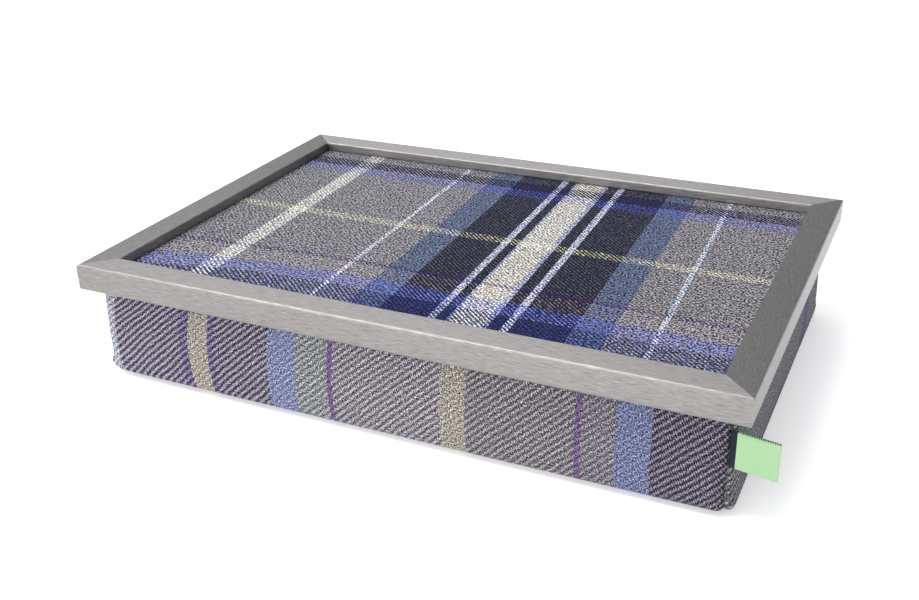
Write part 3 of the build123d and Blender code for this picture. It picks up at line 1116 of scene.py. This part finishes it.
@dataclass
class FasteningTapes:
    """Hook tapes under the tray and loop tapes on the cushion, with a flat selvedge along each side.

    An edge that turns by more than the crease, in radians, is rounded.
    """

    selvedge: float = 0.0014
    pile: float = 0.0004
    edge_radius: float = 0.00015
    crease: float = 0.5

    def build(self) -> list[bpy.types.Object]:
        """Builds the eight tapes.

        Returns:
            the finished pieces.
        """
        hooks = NylonPile("nylon_hook_pile", "3c3c42", tuft=1.3, scatter=0.25).material()
        loops = NylonPile("nylon_loop_pile", "4a4a50", tuft=0.8, scatter=1.0).material()
        made = [self._tape("hook", side, "tray", -1, hooks) for side in Side]
        return made + [self._tape("loop", side, "cushion", 1, loops) for side in Side]

    def _tape(
        self, kind: str, side: Side, body: str, up: int, material: bpy.types.Material
    ) -> bpy.types.Object:
        """Raises the pile of one tape between its selvedges.

        Args:
            kind: hook or loop.
            side: side of the tray that it lies along.
            body: body that it is sewn or glued to.
            up: 1 where the pile faces up, -1 where it faces down.
            material: what the pile is.

        Returns:
            the tape.
        """
        node = f"{kind}_tape_{side.label}"
        low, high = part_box(node)
        pile_level = high.z if up > 0 else low.z
        if up > 0:
            high.z -= self.pile
        else:
            low.z += self.pile
        bm = box_bmesh(low, high)
        bmesh.ops.recalc_face_normals(bm, faces=bm.faces)
        top = max(bm.faces, key=lambda f: f.normal.z * up)
        bmesh.ops.inset_region(bm, faces=[top], thickness=self.selvedge)
        raised = bmesh.ops.extrude_face_region(bm, geom=[top])["geom"]
        for vert in (v for v in raised if isinstance(v, bmesh.types.BMVert)):
            vert.co.z = pile_level
        bmesh.ops.delete(bm, geom=[top], context="FACES")
        bmesh.ops.recalc_face_normals(bm, faces=bm.faces)
        creased = [e for e in bm.edges if e.calc_face_angle(0) > self.crease]
        soften(bm, creased, self.edge_radius, segments=2)
        tape = to_object(f"{kind}_pile_{side.label}", bm, material)
        sharpen(tape)
        return seat(tape, body, f"{kind}_tape", node)


@dataclass
class StuffedForm:
    """Box of cloth that beads fill: its walls and ends swell, its edges draw in, and its base lies flat.

    A dent is its number to the metre and its depth. The zip's spans say where the cloth stops being held
    along it: its ends from the middle, its head and foot from the base, and its depth from the middle.
    """

    inset: float = 0.0
    front: float = -0.1400
    back: float = 0.1397
    left: float = 0.2165
    right: float = 0.2108
    top: float = 0.0652
    base_radius: float = 0.005
    post_radius: float = 0.007
    top_radius: float = 0.0022
    front_crown: float = 0.0040
    front_flattening: float = 0.25
    front_zone: Span = (0.08, 0.14)
    belly_power: float = 0.7
    end_crown: float = 0.0005
    end_flattening: float = 0.4
    end_zone: Span = (0.15, 0.21)
    end_foot: float = 0.0006
    foot_across: Span = (0.16, 0.2086)
    foot_along: Span = (0.10, 0.14)
    end_tuck: float = 0.0045
    tuck_height: float = 0.022
    dents: tuple[Span, ...] = ((24.0, 0.0006), (70.0, 0.0002))
    dent_clearance: float = 0.004
    voxel: float = 0.005
    pressure: float = 4.0
    frames: int = 20
    cap: float = 0.005
    top_hold: float = 0.012
    base_hold: Span = (0.002, 0.016)
    zip_ends: Span = (0.170, 0.190)
    zip_head: Span = (0.056, 0.064)
    zip_foot: Span = (0.014, 0.026)
    zip_depth: Span = (0.1157, 0.1357)

    def mesh(self, name: str, simulated: bool) -> bpy.types.Mesh:
        """Shapes the stuffed box.

        Args:
            name: name of the mesh.
            simulated: whether cloth simulation swells it.

        Returns:
            its closed mesh, subdivided once.
        """
        low = Vector((self.inset - self.left, self.front + self.inset, self.inset))
        high = Vector((self.right - self.inset, self.back - self.inset, self.top - self.inset))
        bm = box_bmesh(low, high)
        self._round_box(bm, low, high)
        block = to_object(name + " block", bm)
        block.modifiers.new("even mesh", "REMESH").voxel_size = self.voxel
        start = baked(block)
        self._crown(start)
        block.modifiers.clear()
        block.data = start
        if simulated:
            self._swell(block)
        finer = block.modifiers.new("finer mesh", "SUBSURF")
        finer.levels = finer.render_levels = 1
        mesh = baked(block)
        mesh.name = name
        bpy.data.objects.remove(block)
        return mesh

    def _round_box(self, bm: bmesh.types.BMesh, low: Vector, high: Vector) -> None:
        """Rounds the base's edges, the posts and the top's edges, each to its own radius.

        Args:
            bm: a box.
            low: its lowest corner.
            high: its highest corner.
        """
        flat = [e for e in bm.edges if abs(e.verts[0].co.z - e.verts[1].co.z) < FLUSH]
        posts = [e for e in bm.edges if e not in flat]
        soften(bm, posts, self.post_radius, segments=3)
        rim = [e for e in bm.edges if all(abs(v.co.z - high.z) < FLUSH for v in e.verts)]
        soften(bm, rim, self.top_radius, segments=2)
        foot = [e for e in bm.edges if all(abs(v.co.z - low.z) < FLUSH for v in e.verts)]
        soften(bm, foot, self.base_radius, segments=5)
        bmesh.ops.recalc_face_normals(bm, faces=bm.faces)

    def _crown(self, mesh: bpy.types.Mesh) -> None:
        """Crowns the front and the ends, lifts the foot, and dents the cloth as beads under it do.

        Args:
            mesh: the rounded box.
        """
        for vert in mesh.vertices:
            x, y, z = vert.co
            depth = 1 - min(1.0, max(0.0, z / self.top))
            belly = math.sin(math.pi / 2 * depth**self.belly_power)
            along = 1 - self.front_flattening * (x / self.left) ** 4
            across = 1 - self.end_flattening * (y / self.back) ** 2
            forward = smooth_step(*self.front_zone, -y)
            outward = smooth_step(*self.end_zone, abs(x))
            near_edge = max(smooth_step(*self.foot_along, abs(y)), smooth_step(*self.foot_across, abs(x)))
            vert.co.y -= self.front_crown * along * belly * forward
            tuck = self.end_tuck * max(0.0, 1 - z / self.tuck_height) ** 2
            vert.co.x += math.copysign((self.end_crown * across * belly - tuck) * outward, x)
            if z < self.top / 2:
                vert.co.z += self.end_foot * near_edge * (1 - z / (self.top / 2))
            if z < self.top - self.dent_clearance and self.inset == 0.0:
                dent = sum(noise.noise(vert.co * pitch) * deep for pitch, deep in self.dents)
                vert.co += vert.normal * dent * self._free(vert.co)

    def _free(self, place: Vector) -> float:
        """Says how free the cloth is at a point.

        Args:
            place: the point.

        Returns:
            0 where it is held at the top, on the base's flat or on the zip, up to 1 elsewhere.
        """
        below_top = smooth_step(0.0, self.top_hold, self.top - place.z)
        off_base = smooth_step(*self.base_hold, place.z)
        beside = smooth_step(*self.zip_ends, abs(place.x))
        above = smooth_step(*self.zip_head, place.z)
        below = 1 - smooth_step(*self.zip_foot, place.z)
        ahead = 1 - smooth_step(*self.zip_depth, place.y)
        return below_top * off_base * max(beside, above, below, ahead)

    def _swell(self, block: bpy.types.Object) -> None:
        """Inflates the box as cloth held at its top, its base and its zip, and caps the movement.

        Args:
            block: the box, which is changed.
        """
        start = [vert.co.copy() for vert in block.data.vertices]
        held = block.vertex_groups.new(name="held")
        for index, place in enumerate(start):
            held.add([index], 1.0 - self._free(place), "REPLACE")
        cloth = block.modifiers.new("swelling", "CLOTH")
        cloth.settings.vertex_group_mass = held.name
        cloth.settings.use_pressure = True
        cloth.settings.uniform_pressure_force = self.pressure
        cloth.settings.effector_weights.gravity = 0.0
        scene = bpy.context.scene
        for step in range(1, self.frames + 1):
            scene.frame_set(step)
        swollen = baked(block)
        scene.frame_set(1)
        block.modifiers.remove(cloth)
        for vert, rest, moved in zip(block.data.vertices, start, swollen.vertices):
            shift = moved.co - rest
            if shift.length > self.cap:
                shift *= self.cap / shift.length
            vert.co = rest + shift
            vert.co.z = min(max(vert.co.z, 0.0), self.top)
        bpy.data.meshes.remove(swollen)


class Panel(Enum):
    """Panel of the cushion's cover."""

    WRAP = "cover_wrap"
    BACK_STRIP = "cover_back_strip"
    TOP = "cover_top_panel"
    LEFT_END = "cover_left_end"
    RIGHT_END = "cover_right_end"


@dataclass
class CushionCover:
    """Sewn cover: a wrap that is front, base and lower back, a strip over the zip, a top and two ends.

    A score is a row of close cuts at a seam, and its numbers are their places from the seam. The cushion's
    core is the box that its cloth stands out from, and the bend is how far the front's stripes bow.
    """

    cloth: float = 0.0011
    left_seam: float = 0.2150
    right_seam: float = 0.2070
    top_seam: float = 0.0636
    zip_line: float = 0.040
    window_half: float = 0.165
    window_rise: float = 0.0045
    window_depth: float = 0.006
    seam_depth: float = 0.0020
    seam_reach: float = 0.0016
    top_reach: float = 0.0008
    zip_reach: float = 0.0016 / 1.5
    faint_share: float = 0.4
    back_zone: float = 0.13
    end_score: tuple[float, ...] = (-0.004, -0.0025, -0.0016, -0.0008, 0.0, 0.0008, 0.0016, 0.0025)
    top_score: tuple[float, ...] = (-0.0012, 0.0, 0.0008)
    cut_reach: float = 0.00005
    core_half: Triple = (0.209, 0.120, 0.025)
    core_height: float = 0.033
    bend: float = 0.003
    bend_across: Span = (-0.25, 0.2)
    bend_front: Span = (0.1, 0.13)

    def build(self) -> list[bpy.types.Object]:
        """Shapes the stuffed form, sews its seams in and cuts it into its panels.

        Returns:
            the finished pieces.
        """
        form = StuffedForm()
        mesh = form.mesh("stuffed form", simulated=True)
        bm = bmesh.new()
        bm.from_mesh(mesh)
        bpy.data.meshes.remove(mesh)
        self._score(bm)
        self._draw_in(bm)
        self._open_zip(bm, form)
        cord = CordTwill("wool_cord_twill", FRONT_STRIPES_AND_PAINTED_LIGHT, GROOVES).material()
        end = CordTwill("wool_cord_twill_ends", END_STRIPES, (Stripe(-420, "1c1a20"),), speck=1.3).material()
        lining = PlainWeave("cotton_lining", "2b2c33").material()
        cloths = {Panel.TOP: lining, Panel.LEFT_END: end, Panel.RIGHT_END: end}
        panels = [self._panel(bm, panel, form, cloths.get(panel, cord)) for panel in Panel]
        bm.free()
        return panels

    def _seam(self, x: float) -> float:
        """Returns how far out the end seam on x's side lies: the left one is round the corner."""
        return self.right_seam if x > 0 else self.left_seam

    def _cut(self, bm: bmesh.types.BMesh, place: Vector, normal: Vector) -> None:
        """Adds a loop of edges where a plane crosses the form."""
        whole = bm.verts[:] + bm.edges[:] + bm.faces[:]
        bmesh.ops.bisect_plane(bm, geom=whole, plane_co=place, plane_no=normal, dist=self.cut_reach)

    def _score(self, bm: bmesh.types.BMesh) -> None:
        """Marks each seam with close loops of edges, so that it can be drawn in sharply.

        Args:
            bm: the form.
        """
        for way in (-1, 1):
            for offset in self.end_score:
                self._cut(bm, Vector((way * (self._seam(way) + offset), 0, 0)), Vector((1, 0, 0)))
            self._cut(bm, Vector((way * self.window_half, 0, 0)), Vector((1, 0, 0)))
        for offset in self.top_score:
            self._cut(bm, Vector((0, 0, self.top_seam + offset)), Vector((0, 0, 1)))
        for offset in (-self.window_rise, 0.0, self.window_rise):
            self._cut(bm, Vector((0, 0, self.zip_line + offset)), Vector((0, 0, 1)))

    def _draw_in(self, bm: bmesh.types.BMesh) -> None:
        """Pulls the cloth in along the seams at the ends, round the top and beside the zip.

        Args:
            bm: the form.
        """
        bm.normal_update()
        for vert in bm.verts:
            end = abs(abs(vert.co.x) - self._seam(vert.co.x)) / self.seam_reach
            top = abs(vert.co.z - self.top_seam) / self.top_reach
            pull = math.exp(-end * end) + self.faint_share * math.exp(-top * top)
            if vert.co.y > self.back_zone and abs(vert.co.x) > self.window_half:
                beside = abs(vert.co.z - self.zip_line) / self.zip_reach
                pull += self.faint_share * math.exp(-beside * beside)
            vert.co -= self._outward(vert.co) * self.seam_depth * min(1.0, pull)

    def _outward(self, place: Vector) -> Vector:
        """Finds the way out of the cushion at a point, smooth round its edges.

        Args:
            place: the point.

        Returns:
            a unit vector.
        """
        way = place - Vector((0, 0, self.core_height))
        core = Vector(min(max(part, -half), half) for part, half in zip(way, self.core_half))
        return (way - core).normalized()

    def _in_window(self, place: Vector, form: StuffedForm) -> bool:
        """Says whether a point lies in the zip's window.

        Args:
            place: the point.
            form: sizes of the form.

        Returns:
            whether it does.
        """
        level = abs(place.z - self.zip_line) < self.window_rise
        at_back = place.y > form.back - self.window_depth
        return at_back and abs(place.x) < self.window_half and level

    def _open_zip(self, bm: bmesh.types.BMesh, form: StuffedForm) -> None:
        """Cuts the zip's window out of the back."""
        window = [f for f in bm.faces if self._in_window(f.calc_center_median(), form)]
        bmesh.ops.delete(bm, geom=window, context="FACES")

    def _panel_at(self, place: Vector) -> Panel:
        """Finds the panel that a point of the form belongs to.

        Args:
            place: the point.

        Returns:
            the panel.
        """
        if abs(place.x) > self._seam(place.x):
            return Panel.RIGHT_END if place.x > 0 else Panel.LEFT_END
        if place.z > self.top_seam:
            return Panel.TOP
        return Panel.BACK_STRIP if place.y > 0 and place.z > self.zip_line else Panel.WRAP

    def _girth(self, place: Vector, form: StuffedForm) -> float:
        """Measures down the front, under the base and up the back to a point.

        Args:
            place: the point.
            form: sizes of the form.

        Returns:
            the length, below zero.
        """
        radius = form.base_radius
        near, far = form.front + radius, form.back - radius
        base = -(form.top - radius) - radius * math.pi / 2
        if place.y < near and place.z < radius:
            return base + radius * math.atan2(near - place.y, radius - place.z)
        if place.y < near:
            return place.z - form.top
        if place.y > far and place.z < radius:
            return base - (far - near) - radius * math.atan2(place.y - far, radius - place.z)
        if place.y > far:
            return base - (far - near) - radius * math.pi / 2 - (place.z - radius)
        return base - (place.y - near)

    def _cloth_place(self, panel: Panel, place: Vector, form: StuffedForm) -> tuple[float, float]:
        """Finds where a point lies in its panel's weave.

        Args:
            panel: the panel.
            place: the point.
            form: sizes of the form.

        Returns:
            metres along the weft and along the warp.
        """
        if panel in (Panel.LEFT_END, Panel.RIGHT_END):
            turned = (form.right if place.x > 0 else form.left) - abs(place.x)
            under = turned if place.z < form.base_radius else 0.0
            return place.y + math.copysign(turned, place.y), place.z - form.top - under
        sway = math.sin(math.pi * min(1.0, max(0.0, place.z / form.top)))
        bow = smooth_step(*self.bend_across, -place.x) * smooth_step(*self.bend_front, -place.y)
        return place.x + self.bend * sway * bow, self._girth(place, form)

    def _panel(
        self, bm: bmesh.types.BMesh, panel: Panel, form: StuffedForm, material: bpy.types.Material
    ) -> bpy.types.Object:
        """Cuts one panel from the form and gives it the cloth's thickness.

        Args:
            bm: the whole form.
            panel: which panel.
            form: sizes of the form.
            material: the panel's cloth.

        Returns:
            the panel.
        """
        part = bm.copy()
        others = [f for f in part.faces if self._panel_at(f.calc_center_median()) is not panel]
        bmesh.ops.delete(part, geom=others, context="FACES")
        set_map(part, lambda place: self._cloth_place(panel, place, form))
        piece = to_object(panel.value.replace("cover_", "cushion_"), part, material)
        thick = piece.modifiers.new("cloth thickness", "SOLIDIFY")
        thick.thickness, thick.offset = self.cloth, -1.0
        slot = "plain_lining" if panel is Panel.TOP else "tartan_fabric"
        seat(piece, "cushion", slot, panel.value)
        return piece or piece


@dataclass
class Filling:
    """Lining bag inside the cover, and the beads in it."""

    bag_inset: float = 0.0055
    bead_inset: float = 0.0065
    voxel: float = 0.007

    def build(self) -> list[bpy.types.Object]:
        """Builds the bag and its beads.

        Returns:
            the finished pieces.
        """
        bag = PlainWeave("calico_bag", "cfc8b8", thread=0.6, contrast=0.12).material()
        parts = (
            ("bead_bag", "bead_liner", self.bag_inset, bag, "plain_lining"),
            ("bead_mass", "bead_fill", self.bead_inset, BeadFoam().material(), "beads"),
        )
        return [self._stuffed(*part) for part in parts]

    def _stuffed(
        self, name: str, node: str, inset: float, material: bpy.types.Material, slot: str
    ) -> bpy.types.Object:
        """Makes one closed form inside the cover.

        Args:
            name: name of the piece.
            node: CAD node that it stands for.
            inset: its distance inside the form.
            material: what it is made of.
            slot: the record's material slot that it takes.

        Returns:
            the piece.
        """
        mesh = StuffedForm(inset=inset, voxel=self.voxel).mesh(name, simulated=False)
        mesh.materials.append(material)
        mesh.shade_smooth()
        piece = bpy.data.objects.new(name, mesh)
        bpy.context.scene.collection.objects.link(piece)
        seat(piece, "cushion", slot, node)
        return piece or piece


@dataclass
class ZipClosure:
    """Coil zip in the cushion's back: tapes, coils, stops, slider and pull."""

    selvedge_radius: float = 0.00025

    def build(self) -> list[bpy.types.Object]:
        """Dresses the zip's pieces and builds its woven tapes.

        Returns:
            the finished pieces.
        """
        coil = CoilNylon().material()
        metal = PlatedMetal("nickel_plated_zinc", "c2bfb8").material()
        tape = PlainWeave("polyester_zip_tape", "32313a", thread=0.5, contrast=0.2).material()
        pieces = [finish_node(f"zip_teeth_{row}", coil) for row in ("lower", "upper")]
        pieces += [finish_node(name, metal) for name in ("zip_stops", "zip_slider", "zip_pull")]
        return pieces + [self._tape(row, tape) for row in ("lower", "upper")]

    def _tape(self, row: str, material: bpy.types.Material) -> bpy.types.Object:
        """Makes one woven tape with softened selvedges.

        Args:
            row: lower or upper.
            material: its weave.

        Returns:
            the tape.
        """
        low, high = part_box(f"zip_tape_{row}")
        bm = box_bmesh(low, high)
        soften(bm, bm.edges[:], self.selvedge_radius, segments=2)
        tape = to_object(f"zip_woven_tape_{row}", bm, material)
        sharpen(tape)
        return seat(tape, "cushion", "zip_tape", f"zip_tape_{row}")


@dataclass
class SideLabel:
    """Small ribbon folded in two and sewn into the right seam, sagging to its outer end. It is bare."""

    height: float = 0.0235
    layer: float = 0.00035
    ribbon: float = 0.0002975
    sag: float = 0.0038
    curl: float = 0.0012
    curl_phase: Span = (0.25, 0.6)
    steps: int = 16
    fold_steps: int = 5
    cuts: int = 8

    def build(self) -> list[bpy.types.Object]:
        """Builds the folded ribbon.

        Returns:
            the finished pieces.
        """
        low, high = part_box("side_label")
        fold_radius = (high.y - low.y - self.layer) / 2
        bm = bmesh.new()
        near = low.y + self.layer / 2
        ends = [bm.verts.new((low.x, near, high.z - drop)) for drop in (0.0, self.height)]
        edges = [bm.edges.new(ends)]
        straight = (high.x - low.x - fold_radius - self.layer / 2) / self.steps
        edges = self._run(bm, edges, straight)
        centre = Vector((high.x - fold_radius - self.layer / 2, near + fold_radius, 0))
        turned = bmesh.ops.spin(
            bm,
            geom=edges + [v for e in edges for v in e.verts],
            cent=centre,
            axis=(0, 0, 1),
            dvec=(0, 0, 0),
            angle=math.pi,
            steps=self.fold_steps,
        )["geom_last"]
        edges = [e for e in turned if isinstance(e, bmesh.types.BMEdge)]
        self._run(bm, edges, -straight)
        bmesh.ops.remove_doubles(bm, verts=bm.verts, dist=FLUSH)
        whole = [e for e in bm.edges if abs(e.verts[0].co.z - e.verts[1].co.z) > self.height / 2]
        bmesh.ops.subdivide_edges(bm, edges=whole, cuts=self.cuts, use_grid_fill=True)
        middle = (low.y + high.y) / 2
        length = high.x - low.x
        set_map(bm, lambda p: (p.x - low.x if p.y < middle else 2 * length - (p.x - low.x), high.z - p.z))
        for vert in bm.verts:
            share = (vert.co.x - low.x) / length
            down = (high.z - vert.co.z) / self.height
            vert.co.z -= self.sag * share
            phase = self.curl_phase[0] + self.curl_phase[1] * down
            vert.co.y += self.curl * share * share * math.sin(math.pi * phase)
        bmesh.ops.recalc_face_normals(bm, faces=bm.faces)
        label = to_object("folded_ribbon_label", bm, SatinRibbon().material())
        thick = label.modifiers.new("ribbon thickness", "SOLIDIFY")
        thick.thickness, thick.offset = self.ribbon, 0.0
        seat(label, "cushion", "label_ribbon", "side_label")
        return [label]

    def _run(
        self, bm: bmesh.types.BMesh, edges: list[bmesh.types.BMEdge], step: float
    ) -> list[bmesh.types.BMEdge]:
        """Runs the ribbon straight on along X.

        Args:
            bm: the ribbon.
            edges: its end.
            step: how far each strip runs.

        Returns:
            its new end.
        """
        for _ in range(self.steps):
            made = bmesh.ops.extrude_edge_only(bm, edges=edges)["geom"]
            verts = [v for v in made if isinstance(v, bmesh.types.BMVert)]
            bmesh.ops.translate(bm, verts=verts, vec=(step, 0, 0))
            edges = [e for e in made if isinstance(e, bmesh.types.BMEdge) and set(e.verts) <= set(verts)]
        return edges


# Studio


@dataclass(frozen=True)
class Diffuser:
    """Even soft light spread over part of the studio's ceiling or wall.

    It hangs in the direction of its place, looks as wide from the object as its spread in degrees, and
    its strength is its irradiance.
    """

    name: str
    place: Triple
    spread: float
    strength: float

    def hang(self) -> None:
        """Adds the light to the scene."""
        data = bpy.data.lights.new(self.name, "SUN")
        data.energy = self.strength
        data.angle = math.radians(self.spread)
        light = bpy.data.objects.new(self.name, data)
        light.rotation_euler = (-Vector(self.place)).to_track_quat("-Z", "Y").to_euler()
        bpy.context.scene.collection.objects.link(light)


@dataclass
class Studio:
    """White paper floor, soft lights and the camera."""

    camera_place: Triple = (0.2981, -0.6566, 0.3776)
    camera_turn: Triple = (64.341, 1.239, 24.964)
    lens: float = 44.322
    floor_half: float = 90.0
    floor_drop: float = 0.0002
    sky: str = "f4f6fa"
    sky_strengths: Span = (0.605, 0.4125)
    sky_falloff: Span = (-0.6, 0.7)
    diffusers: tuple[Diffuser, ...] = (
        Diffuser("ceiling diffuser", (-0.35, 0.28, 0.89), 75.0, 1.25),
        Diffuser("inner key diffuser", (-0.26, -0.20, 0.945), 18.0, 0.7),
        Diffuser("outer key diffuser", (-0.53, -0.20, 0.824), 18.0, 0.7),
        Diffuser("front diffuser", (-0.22, -0.93, 0.28), 70.0, 1.5),
    )

    def build(self) -> None:
        """Sets the stage round the object."""
        self._floor()
        self._sky()
        for diffuser in self.diffusers:
            diffuser.hang()
        self._camera()
        bpy.context.scene.view_settings.view_transform = "Standard"

    def _floor(self) -> None:
        """Lays the paper under the object."""
        bm = bmesh.new()
        matrix = Matrix.Translation((0, 0, -self.floor_drop))
        bmesh.ops.create_grid(bm, x_segments=8, y_segments=8, size=self.floor_half, matrix=matrix)
        to_object("paper_floor", bm, StudioPaper().material())

    def _sky(self) -> None:
        """Fills the studio with soft light that falls off towards its unlit right side."""
        world = bpy.data.worlds.new("studio walls")
        world.use_nodes = True
        tree = world.node_tree
        tree.nodes.clear()
        side = wire(tree, "SeparateXYZ", {0: wire(tree, "TexCoord").outputs["Generated"]}).outputs["X"]
        span = {"From Min": self.sky_falloff[0], "From Max": self.sky_falloff[1]}
        levels = {"To Min": self.sky_strengths[0], "To Max": self.sky_strengths[1]}
        level = wire(tree, "MapRange", {"Value": side, **span, **levels})
        walls = wire(tree, "Background", {"Color": srgb(self.sky), "Strength": level})
        wire(tree, "OutputWorld", {"Surface": walls})
        bpy.context.scene.world = world

    def _camera(self) -> None:
        """Stands the camera where the photograph was taken from."""
        data = bpy.data.cameras.new("camera")
        data.lens, data.sensor_width = self.lens, 36.0
        camera = bpy.data.objects.new("camera", data)
        camera.location = self.camera_place
        camera.rotation_euler = [math.radians(angle) for angle in self.camera_turn]
        bpy.context.scene.collection.objects.link(camera)
        bpy.context.scene.camera = camera


def main() -> None:
    """Builds the tray, the cushion and the studio."""
    for assembly in (
        Moulding(),
        TrayFace(),
        FasteningTapes(),
        CushionCover(),
        Filling(),
        ZipClosure(),
        SideLabel(),
    ):
        for piece in assembly.build():
            log.info("%s: %s, %d faces", type(assembly).__name__, piece.name, len(piece.data.polygons))
    Studio().build()


if __name__ == "__main__":
    logging.basicConfig(level=logging.INFO, format="%(name)s: %(message)s")
    main()
